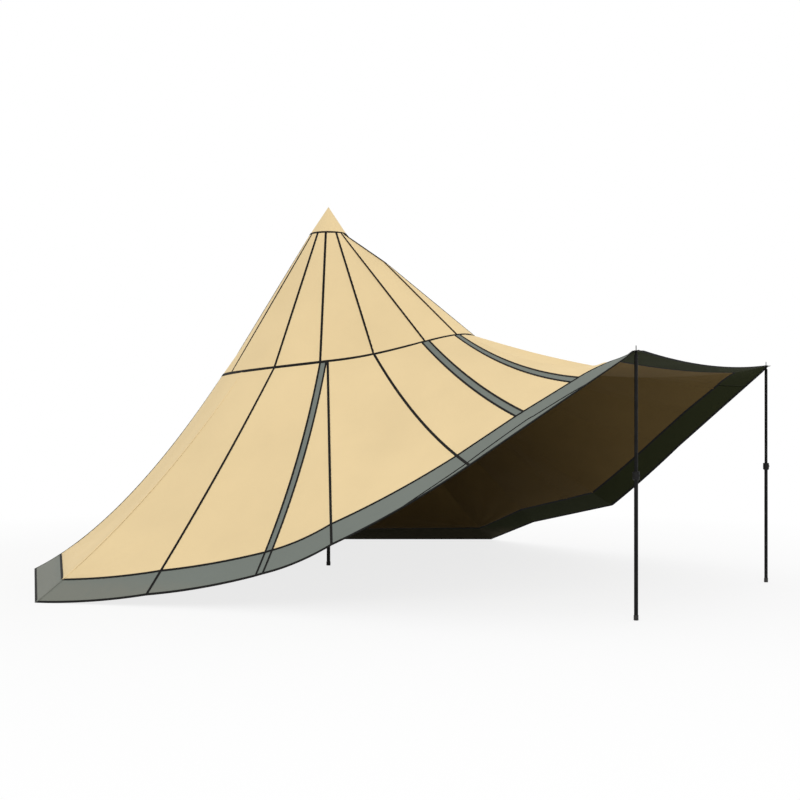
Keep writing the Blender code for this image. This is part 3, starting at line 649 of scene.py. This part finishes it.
for number, seam in enumerate(SEAMS):
    side, count = ("left", number) if number < HALF else ("right", len(SEAMS) - 1 - number)
    sheet = {HALF - 1: "gore_back", len(SEAMS) - 1: "gore_front"}.get(number, f"gore_{side}_{max(count, 1)}")
    s = np.linspace(FRONT_TAPE_START, 1, 60) if sheet == "gore_front" else np.linspace(0, 1, LINE_POINTS)
    path = seam_point(seam, s)
    sew(sheet, f"tape_upper_{side}_{count}", path, crown_normal(path, s))

turns = np.arange(0, 360, RING_STEP)
sew("gore_back", "tape_ring", ring_point(turns), ring_normal(turns), RING_TAPE_WIDTH, closed=True,
    proud=OVER_PROUD)
cap_normals = cap_normal(turns) * np.ones((len(turns), 1))
sew("apex_cap", "tape_cap", around(turns, CAP_RADIUS, CAP_RIM_HEIGHT), cap_normals, closed=True,
    proud=OVER_PROUD)

walk = walked(np.vstack((FEET, FEET[:1])))
hem = np.interp(np.arange(0, walk[-1], HEM_STEP), walk, np.arange(COUNT + 1))
top = band_start_at(hem)
sew("panel_awning", "tape_band_top", taut_wall(hem, top), taut_normal(hem, top), closed=True, proud=OVER_PROUD)
ends = np.full(len(hem), 0.9999)
sew("band_front", "tape_hem", taut_wall(hem, ends), taut_normal(hem, ends), closed=True, shift=HEM_SHIFT,
    proud=OVER_PROUD)
for side in ("left", "right"):
    first, brow = INDEX[f"{side}_awning_rear"], INDEX[f"{side}_brow"]
    w = np.linspace(0.01, 0.99, 160)
    pos = first + (brow + (0.5 if side == "left" else -0.5) - first) * w
    t = 1 - (1 - band_start_at(pos)) * CREASE_RISE * np.sin(pi * w) ** 0.5
    sew(f"band_{side}_side", f"tape_{side}_fold", taut_wall(pos, t), taut_normal(pos, t), CREASE_WIDTH,
        proud=OVER_PROUD, through=False)


# Poles and fittings

ROUND = 48  # segments of a turned piece
CAP_ROUND = 144
CENTRE_TUBE = (0.0175, 0.0016)  # radius and wall of an upper tube
AWNING_TUBE = (0.0140, 0.0014)
TUBE_EDGE = 0.0006  # radius of a tube's rounded edges
SLIDE_GAP = 0.0003  # between two tubes, and between tube and foot
COLLAR_LENGTH = 0.060
COLLAR_LAP = 0.009  # of the collar below the tube's end
COLLAR_RADIUS = 0.028
RIDGES = 9
RIDGE_PITCH = 0.0052
RIDGE_WIDTH = 0.0026
RIDGE_DEPTH = 0.0008
BUTTON_DROP = 0.030  # of the lock button below the collar's top
BUTTON_RADIUS = 0.0065
POCKET_RADIUS = 0.0068
TREADS = 4  # grooves around a foot
TREAD_PITCH = 0.007
HEAD_RADIUS = 0.045  # of the centre pole's head
HEAD_SKIRT = 0.030
HEAD_NECK = 0.0156
PLUG_RADIUS = 0.0123  # of the spike inside its tube
PLUG_LENGTH = 0.045
NECK_RADIUS = 0.0077  # between the tube and the ball
BALL_RADIUS = 0.011
BALL_RISE = 0.0242  # from the tube's end to the ball's middle
SPIKE_RADIUS = 0.0035
EYELET_RADIUS = 0.0165  # of the middle of its ring
EYELET_SECTION = (0.0075, 0.0025)
CLOTH_HOLE = 0.0105  # radii of the holes under an eyelet
TAPE_HOLE = 0.0243
PRESS_REACH = 0.100  # around an eyelet, where the canvas is brought into its plane
PRESS_BLEND = 0.072
PRESS_LIMIT = 0.009
KINDS = {"pole": [], "plastic": [], "rubber": [], "eyelet": []}


def rounded(profile, size):
    """Profile of (radius, height) with its corners off the axis turned into small arcs."""
    points = [np.array(p, dtype=float) for p in profile]
    out = []
    for number, here in enumerate(points):
        if here[0] < 1e-6:
            out.append(here)
            continue
        ends = []
        for other in (points[number - 1], points[(number + 1) % len(points)]):
            length = float(np.linalg.norm(other - here))
            ends.append(here + (other - here) / max(length, 1e-9) * min(size, 0.4 * length))
        out += [ends[0] * (1 - w) ** 2 + here * 2 * w * (1 - w) + ends[1] * w ** 2 for w in (0, 0.33, 0.67, 1)]
    return [(float(r), float(z)) for r, z in out]


def pipe(inner, outer, low, high):
    return [(inner, low), (outer, low), (outer, high), (inner, high)]


def lathe(name, profile, x=0.0, y=0.0, segments=ROUND):
    """Turned piece, from the closed outline of its section as (radius, height)."""
    points, rings = [], []
    for radius, height in profile:
        if radius < 1e-6:
            rings.append([len(points)] * segments)
            points.append((x, y, height))
        else:
            rings.append([len(points) + k for k in range(segments)])
            turns = [2 * pi * k / segments for k in range(segments)]
            points += [(x + radius * cos(a), y + radius * sin(a), height) for a in turns]
    faces = []
    for number, ring in enumerate(rings):
        following = rings[(number + 1) % len(rings)]
        for k in range(segments):
            corners = [ring[k], ring[(k + 1) % segments], following[(k + 1) % segments], following[k]]
            face = [v for i, v in enumerate(corners) if v != corners[i - 1]]
            if len(face) > 2:
                faces.append(tuple(face))
    mesh = new_mesh(name, points, faces)
    mesh.shade_smooth()
    mesh.set_sharp_from_angle(angle=radians(40))
    return add_object(name, mesh)


def cut(things, cutter):
    """Takes the cutter's shape out of pieces for good."""
    for thing in things:
        modifier = thing.modifiers.new("cut", "BOOLEAN")
        modifier.operation, modifier.solver, modifier.object = "DIFFERENCE", "EXACT", cutter
        bpy.context.view_layer.update()
        mesh = bpy.data.meshes.new_from_object(thing.evaluated_get(bpy.context.evaluated_depsgraph_get()))
        thing.modifiers.clear()
        old, thing.data = thing.data, mesh
        bpy.data.meshes.remove(old)
    bpy.data.objects.remove(cutter, do_unlink=True)


def pin(name, radius, near, far, height, x, y, dome=0.0):
    """Round button towards -Y, with a domed face."""
    steps = [(0.0, near), (radius, near), (radius, far - dome)]
    steps += [(radius * cos(a), far - dome + dome * sin(a)) for a in np.linspace(0.15, pi / 2, 7)[:-1]]
    steps += [(0.0, far)]
    thing = lathe(name, steps)
    for vertex in thing.data.vertices:
        across, up, out = vertex.co
        vertex.co = x + across, y - out, height + up
    thing.data.update()
    return thing


def outer_surface(cloth):
    """Search tree of the outer faces of canvas pieces."""
    points, faces = [], []
    for thing in cloth:
        start = len(points)
        points += [v.co.copy() for v in thing.data.vertices]
        faces += [[start + v for v in f.vertices] for f in thing.data.polygons if f.material_index == 0]
    return BVHTree.FromPolygons(points, faces)


def press_flat(things, surface, x, y, height):
    """Brings the canvas around an eyelet, and the tape on it, into the eyelet's plane."""
    for thing in things:
        for vertex in thing.data.vertices:
            away = hypot(vertex.co.x - x, vertex.co.y - y)
            if away < PRESS_REACH:
                share = min(1.0, (PRESS_REACH - away) / PRESS_BLEND)
                lift = height + FABRIC_THICKNESS / 2 - surface.find_nearest(vertex.co)[0].z
                vertex.co.z += min(PRESS_LIMIT, max(-PRESS_LIMIT, lift)) * share * share * (3 - 2 * share)
        thing.data.update()


def place(thing, body, slot, *nodes):
    """Puts a piece on its body, in its slot, over its CAD nodes."""
    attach(thing, body)
    if nodes:
        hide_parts(*nodes)
    KINDS[slot].append(thing)


def turn(node, profile, body, slot, x=0.0, y=0.0):
    """Turned piece in the place of a CAD node."""
    place(lathe("fine_" + node, profile, x, y), body, slot, node)


def telescopic(stem, x, y, radius, wall, lower_body, lock_body, upper_body):
    """Upper tube, lower tube with its collar, lock button and foot, over their CAD nodes."""
    low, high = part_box(stem + "_upper")
    tube = pipe(radius - wall, radius, low.z, high.z)
    turn(stem + "_upper", rounded(tube, TUBE_EDGE), upper_body, "pole", x, y)

    low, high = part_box(stem + "_lower")
    bore = radius + SLIDE_GAP
    outer = bore + wall
    shoulder = high.z - COLLAR_LENGTH
    tube = pipe(bore, outer, low.z, shoulder)
    turn(stem + "_lower", rounded(tube, TUBE_EDGE), lower_body, "pole", x, y)
    foot = shoulder - COLLAR_LAP
    button_height = high.z - BUTTON_DROP
    collar = [(bore, foot), (outer + 0.0012, foot), (COLLAR_RADIUS, shoulder)]
    groove = COLLAR_RADIUS - RIDGE_DEPTH
    for ridge in range(RIDGES):
        z = shoulder + 0.006 + ridge * RIDGE_PITCH
        if abs(z + RIDGE_WIDTH / 2 - button_height) > 0.009:
            collar += [(COLLAR_RADIUS, z), (groove, z + 0.0009), (groove, z + 0.0017),
                       (COLLAR_RADIUS, z + RIDGE_WIDTH)]
    collar += [(COLLAR_RADIUS, high.z - 0.003), (0.025, high.z), (bore, high.z)]
    ring = lathe("collar_" + stem, rounded(collar, 0.0008), x, y)
    cut([ring], pin("pocket", POCKET_RADIUS, 0.0205, 0.040, button_height, x, y))
    place(ring, lower_body, "plastic")
    button = pin(f"fine_{stem}_button", BUTTON_RADIUS, 0.0248, 0.033, button_height, x, y, dome=0.0012)
    place(button, lock_body, "plastic", stem + "_button")

    low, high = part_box(stem + "_foot")
    wide = (high.x - low.x) / 2
    inside = outer + SLIDE_GAP
    cup = [(0, 0), (wide - 0.0012, 0), (wide, 0.002)]
    for tread in range(TREADS):
        z = 0.008 + tread * TREAD_PITCH
        cup += [(wide, z), (wide - 0.0007, z + 0.001), (wide - 0.0007, z + 0.002), (wide, z + 0.003)]
    cup += [(wide, high.z - 0.001), (wide - 0.001, high.z), (inside, high.z), (inside, 0.006), (0, 0.006)]
    turn(stem + "_foot", rounded(cup, 0.0005), lower_body, "rubber", x, y)


telescopic("centre_pole", 0, 0, *CENTRE_TUBE, "centre_pole_base", "centre_lock", "tent")
low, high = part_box("centre_pole_head")
seat = high.z - HEAD_RADIUS * CAP_FALL / CAP_RADIUS - HEAD_SKIRT
head = [(0, low.z), (HEAD_NECK, low.z), (HEAD_NECK, seat), (HEAD_RADIUS, seat),
        (HEAD_RADIUS, seat + HEAD_SKIRT), (0.006, high.z - 0.006), (0, high.z)]
turn("centre_pole_head", rounded(head, 0.002), "tent", "plastic")

for side, x in (("left", -AWNING_POLE_X), ("right", AWNING_POLE_X)):
    y, stem = AWNING_POLE_Y, f"awning_pole_{side}"
    telescopic(stem, x, y, *AWNING_TUBE, f"{side}_pole_base", f"{side}_lock", f"{side}_pole_top")
    low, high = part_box(stem + "_spike")
    tip = high.z
    seat = low.z + PLUG_LENGTH
    ball = seat + BALL_RISE
    rim = AWNING_TUBE[0]
    spike = [(0, low.z), (PLUG_RADIUS, low.z), (PLUG_RADIUS, seat), (rim, seat), (rim, seat + 0.006),
             (NECK_RADIUS, seat + 0.0096)]
    start, stop = -acos(NECK_RADIUS / BALL_RADIUS), acos(SPIKE_RADIUS / BALL_RADIUS)
    spike += [(BALL_RADIUS * cos(a), ball + BALL_RADIUS * sin(a)) for a in np.linspace(start, stop, 14)]
    spike += [(SPIKE_RADIUS, tip - 0.007), (0.0024, tip - 0.0030), (0.0014, tip - 0.0006), (0, tip)]
    turn(stem + "_spike", spike, f"{side}_pole_top", "pole", x, y)
    low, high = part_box(f"eyelet_{side}")
    middle = (low.z + high.z) / 2
    wide, thick = EYELET_SECTION
    section = [(EYELET_RADIUS + wide * cos(a), middle + thick * sin(a))
               for a in np.linspace(0, 2 * pi, 20, endpoint=False)]
    turn(f"eyelet_{side}", section, "tent", "eyelet", x, y)
    cloth = [bpy.data.objects[name] for name in (f"cloth_band_{side}_side", "cloth_band_front")]
    tapes = [bpy.data.objects[name] for name in ("tape_hem", f"tape_{side}_corner_hem")]
    surface = outer_surface(cloth)
    for things, radius in ((cloth, CLOTH_HOLE), (tapes, TAPE_HOLE)):
        cut(things, lathe("hole", pipe(0, radius, middle - 0.05, middle + 0.05), x, y))
    press_flat(cloth + tapes, surface, x, y, middle)

slope = CAP_FALL / CAP_RADIUS
cap_rows = [(CAP_RADIUS * share, APEX_HEIGHT - CAP_RADIUS * share * slope) for share in np.linspace(0, 1, 12)]
under = [(r, z - FABRIC_THICKNESS * hypot(1, slope)) for r, z in cap_rows[:-1]]
cap = lathe("cloth_apex_cap", under + cap_rows[::-1], segments=CAP_ROUND)
two_sides(cap.data, [int(face.normal.z < -0.1) for face in cap.data.polygons])
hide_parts("apex_cap")
CANVAS.append(cap)


# Materials

CLOTH_ROUGHNESS = 0.88
FINE_WEAVE = 0.0011  # pitch of the hem band's weave
TWILL_PITCH = 0.0018
STITCH_ROW = 0.0080  # from the tape's middle to each row of stitches
STITCH_WIDTH = 0.0005  # half of it
STITCH_PITCH = 0.0045
STITCH_SHARE = 0.65  # of the pitch that the thread shows
DUST_HEIGHT = 0.22  # above the ground
DUST_LIMIT = 0.16
DUST_COLOR = (0.30, 0.24, 0.17, 1)


def shade(name, color, roughness, specular):
    material = bpy.data.materials.new(name)
    material.use_nodes = True
    tree = material.node_tree
    shader = tree.nodes["Principled BSDF"]
    shader.inputs["Base Color"].default_value = (*color, 1)
    shader.inputs["Roughness"].default_value = roughness
    shader.inputs["Specular IOR Level"].default_value = specular
    return material, tree, shader


def node(tree, kind, *links, **values):
    made = tree.nodes.new(kind)
    for key, value in values.items():
        if key.startswith("in_"):
            made.inputs[key[3:].replace("_", " ")].default_value = value
        else:
            setattr(made, key, value)
    for socket, source in links:
        tree.links.new(source, made.inputs[socket])
    return made


def math(tree, operation, a, b=None):
    made = tree.nodes.new("ShaderNodeMath")
    made.operation = operation
    for number, value in enumerate((a, b)):
        if isinstance(value, (int, float)):
            made.inputs[number].default_value = value
        elif value is not None:
            tree.links.new(value, made.inputs[number])
    return made.outputs[0]


def times(tree, a, b):
    return math(tree, "MULTIPLY", a, b)


def object_place(tree):
    return tree.nodes.new("ShaderNodeTexCoord").outputs["Object"]


def cloth_place(tree):
    """Place on the flat cloth in metres, and its parts."""
    cloth = node(tree, "ShaderNodeUVMap", uv_map="cloth").outputs["UV"]
    return cloth, node(tree, "ShaderNodeSeparateXYZ", ("Vector", cloth)).outputs


def noise(tree, scale, detail=4.0, at=None):
    at = object_place(tree) if at is None else at
    return node(tree, "ShaderNodeTexNoise", ("Vector", at), in_Scale=scale, in_Detail=detail).outputs["Fac"]


def ramp(tree, source, low, high, dark, light):
    made = node(tree, "ShaderNodeValToRGB", ("Fac", source))
    made.color_ramp.elements[0].position, made.color_ramp.elements[1].position = low, high
    made.color_ramp.elements[0].color = (*dark, 1)
    made.color_ramp.elements[1].color = (*light, 1)
    return made.outputs["Color"]


def blend(tree, factor, base, color):
    """A plain colour over a base, by a factor."""
    made = node(tree, "ShaderNodeMix", ("Factor", factor), data_type="RGBA")
    tree.links.new(base, made.inputs["A"])
    made.inputs["B"].default_value = color
    return made.outputs["Result"]


def vary(tree, shader, source, roughness, amount):
    """Lets the roughness follow a pattern around its own value."""
    value = math(tree, "ADD", times(tree, source, amount), roughness - amount / 2)
    tree.links.new(value, shader.inputs["Roughness"])


def bump(tree, shader, height, strength, distance):
    made = node(tree, "ShaderNodeBump", ("Height", height), in_Strength=strength, in_Distance=distance)
    tree.links.new(made.outputs["Normal"], shader.inputs["Normal"])


def woven(name, color, specular, pitch=0.0016, contrast=0.05):
    """Cotton canvas: plain weave along the cloth's own directions, slubs, and slight fading and dust."""
    material, tree, shader = shade(name, color, CLOTH_ROUGHNESS, specular)
    cloth, parts = cloth_place(tree)
    weave = [math(tree, "SINE", times(tree, parts[k], 2 * pi / pitch)) for k in (0, 1)]
    threads = times(tree, *weave)
    slub, broad = noise(tree, 160.0, 3.0, cloth), noise(tree, 1.3)
    mottle = math(tree, "ADD", times(tree, broad, 0.65), times(tree, slub, 0.35))
    dark, light = ([min(c * factor, 1) for c in color] for factor in (1 - contrast, 1 + contrast))
    fabric = ramp(tree, mottle, 0.30, 0.70, dark, light)
    high = node(tree, "ShaderNodeSeparateXYZ", ("Vector", object_place(tree))).outputs[2]
    low_part = times(tree, math(tree, "SUBTRACT", DUST_HEIGHT, high), times(tree, noise(tree, 9.0), 3.0))
    dust = math(tree, "MINIMUM", math(tree, "MAXIMUM", low_part, 0.0), DUST_LIMIT)
    tree.links.new(blend(tree, dust, fabric, DUST_COLOR), shader.inputs["Base Color"])
    vary(tree, shader, slub, CLOTH_ROUGHNESS, 0.10)
    height = math(tree, "ADD", times(tree, threads, 0.5), times(tree, slub, 0.9))
    bump(tree, shader, height, 0.35, 0.0004)
    return material


def webbing():
    """Black tape with a twill and two rows of stitches."""
    material, tree, shader = shade("webbing", (0.008, 0.008, 0.007), 0.85, 0.15)
    u, v, _ = cloth_place(tree)[1]
    twill = math(tree, "SINE", times(tree, math(tree, "ADD", u, v), 2 * pi / TWILL_PITCH))
    off = math(tree, "ABSOLUTE", math(tree, "SUBTRACT", math(tree, "ABSOLUTE", u), STITCH_ROW))
    row = math(tree, "LESS_THAN", off, STITCH_WIDTH)
    dash = math(tree, "LESS_THAN", math(tree, "FRACT", math(tree, "DIVIDE", v, STITCH_PITCH)), STITCH_SHARE)
    stitch = times(tree, row, dash)
    base = ramp(tree, noise(tree, 40.0), 0.35, 0.65, (0.004, 0.004, 0.004), (0.010, 0.010, 0.009))
    tree.links.new(blend(tree, stitch, base, (0.030, 0.028, 0.024, 1)), shader.inputs["Base Color"])
    bump(tree, shader, math(tree, "ADD", times(tree, twill, 0.4), stitch), 0.5, 0.0004)
    return material


def moulded(name, color, roughness, grain, wear, metallic=0.0, specular=0.5):
    """Painted metal, plastic or rubber: fine grain, and paler where it is rubbed."""
    material, tree, shader = shade(name, color, roughness, specular)
    shader.inputs["Metallic"].default_value = metallic
    fine, rubbed = noise(tree, grain), noise(tree, 14.0, detail=8.0)
    tree.links.new(ramp(tree, rubbed, 0.45, 0.75, color, wear), shader.inputs["Base Color"])
    vary(tree, shader, fine, roughness, 0.22)
    bump(tree, shader, fine, 0.25, 0.0003)
    return material


canvas = woven("canvas", (0.810, 0.630, 0.350), 0.3)
# Inner side of the canvas: painted shade, the tan canvas darkened to dark brown as if in shadow
canvas_inside = woven("canvas_inside", (0.126, 0.082, 0.027), 0.1, contrast=0.10)
band = woven("band", (0.172, 0.193, 0.171), 0.3, FINE_WEAVE)
# Inner side of the band: painted shade, the grey band darkened to dark green as if in shadow
band_inside = woven("band_inside", (0.021, 0.025, 0.008), 0.1, FINE_WEAVE, contrast=0.10)
tape = webbing()
paint = moulded("powder_coat", (0.004, 0.004, 0.004), 0.55, 900.0, (0.010, 0.010, 0.010), specular=0.12)
nylon = moulded("moulded_nylon", (0.007, 0.007, 0.007), 0.58, 500.0, (0.015, 0.015, 0.015), specular=0.18)
rubber = moulded("foot_rubber", (0.012, 0.012, 0.011), 0.80, 300.0, (0.040, 0.038, 0.034))
ring_metal = moulded("blackened_brass", (0.025, 0.023, 0.020), 0.45, 700.0, (0.070, 0.056, 0.038), metallic=1.0)


def dress(things, *materials):
    """Gives pieces their materials, the second for the inner side of canvas and tape."""
    for thing in things:
        slots = thing.data.materials
        while len(slots) < len(materials):
            slots.append(None)
        for number, material in enumerate(materials):
            slots[number] = material


dress(CANVAS, canvas, canvas_inside)
for thing in BAND:
    dress([thing], band, canvas_inside if "strip" in thing.name else band_inside)
for thing in TAPES:
    on_band = thing.name.endswith(("_hem", "_fold"))
    inside = band_inside if on_band else canvas_inside
    if thing.name in ("tape_hem", "tape_band_top"):
        inside = tape
    # The drawing has no line at the side pegs, so that seam has the cloth's own colour
    outside = (band if on_band else canvas) if "side_peg" in thing.name else tape
    dress([thing], outside, inside)
for slot, material in (("pole", paint), ("plastic", nylon), ("rubber", rubber), ("eyelet", ring_metal)):
    dress(KINDS[slot], material)

# What rides where, and what the canvas was cut to
for thing in CANVAS + BAND:
    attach(thing, "tent")
for thing in TAPES:
    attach(thing, "tent")
cap_length = hypot(CAP_RADIUS, CAP_FALL)
SHEETS["cloth_apex_cap"] = (cap, 2 * CAP_RADIUS, 2 * cap_length, pi * CAP_RADIUS * cap_length)


# Floor, light and camera

FLOOR_SPAN = 150
FLOOR_DROP = 0.0005  # below the feet and the hem
OPEN_FLOOR = (4.0, 9.0)  # from the centre pole, where the shadows fade into plain white
NEAR_GLOW = 0.80  # share of that white further in
MIDDLE = (0.0, -1.0, 1.6)  # where the lamps point


def lamp(name, spot, size, power):
    light = bpy.data.lights.new(name, "AREA")
    light.shape, light.size, light.energy = "DISK", size, power
    thing = add_object(name, light)
    thing.location = spot
    thing.rotation_mode = "QUATERNION"
    thing.rotation_quaternion = (Vector(MIDDLE) - thing.location).to_track_quat("-Z", "Y")


def seen_white(tree):
    """1 where the camera, a reflection or a glass ray looks, and 0 for light that falls on things."""
    path = tree.nodes.new("ShaderNodeLightPath").outputs
    seen = math(tree, "MAXIMUM", path["Is Camera Ray"], path["Is Glossy Ray"])
    return math(tree, "MAXIMUM", seen, path["Is Transmission Ray"])


def mix_shaders(tree, factor, first, second, output):
    made = tree.nodes.new("ShaderNodeMixShader")
    for number, source in enumerate((factor, first.outputs[0], second.outputs[0])):
        tree.links.new(source, made.inputs[number])
    tree.links.new(made.outputs[0], tree.nodes[output].inputs[0])


world = bpy.data.worlds.new("studio")
bpy.context.scene.world = world
world.use_nodes = True
tree = world.node_tree
plain = tree.nodes["Background"]
plain.inputs["Color"].default_value = (1, 1, 1, 1)
plain.inputs["Strength"].default_value = 0.78
white = node(tree, "ShaderNodeBackground", in_Color=(1, 1, 1, 1), in_Strength=1.0)
mix_shaders(tree, seen_white(tree), plain, white, "World Output")

corners = [(x * FLOOR_SPAN, y * FLOOR_SPAN, -FLOOR_DROP) for x, y in ((-1, -1), (1, -1), (1, 1), (-1, 1))]
floor = add_object("floor", new_mesh("floor", corners, [(0, 1, 2, 3)]))
material, tree, shader = shade("floor", (0.80, 0.80, 0.80), 0.9, 0.0)
glow = node(tree, "ShaderNodeEmission", in_Color=(1, 1, 1, 1), in_Strength=1.0)
far = node(tree, "ShaderNodeVectorMath", ("Vector", object_place(tree)), operation="LENGTH").outputs["Value"]
open_floor = node(tree, "ShaderNodeMapRange", ("Value", far), in_From_Min=OPEN_FLOOR[0],
                  in_From_Max=OPEN_FLOOR[1], in_To_Min=NEAR_GLOW, in_To_Max=1.0).outputs[0]
mix_shaders(tree, times(tree, seen_white(tree), open_floor), shader, glow, "Material Output")
floor.data.materials.append(material)

lamp("key", (-9.0, -9.0, 9.0), 7.0, 450.0)
lamp("fill", (10.0, -8.0, 7.0), 8.0, 235.0)
lamp("rear", (1.0, 12.0, 9.0), 8.0, 235.0)

view = bpy.data.cameras.new("view")
view.sensor_width, view.lens, view.shift_y = 36.0, 54.0, 0.035
camera = add_object("view", view)
camera.location = (-9.99, -8.386, 1.49)
camera.rotation_euler = (radians(90), 0, radians(-53.4))
bpy.context.scene.camera = camera
bpy.context.scene.view_settings.view_transform = "Standard"
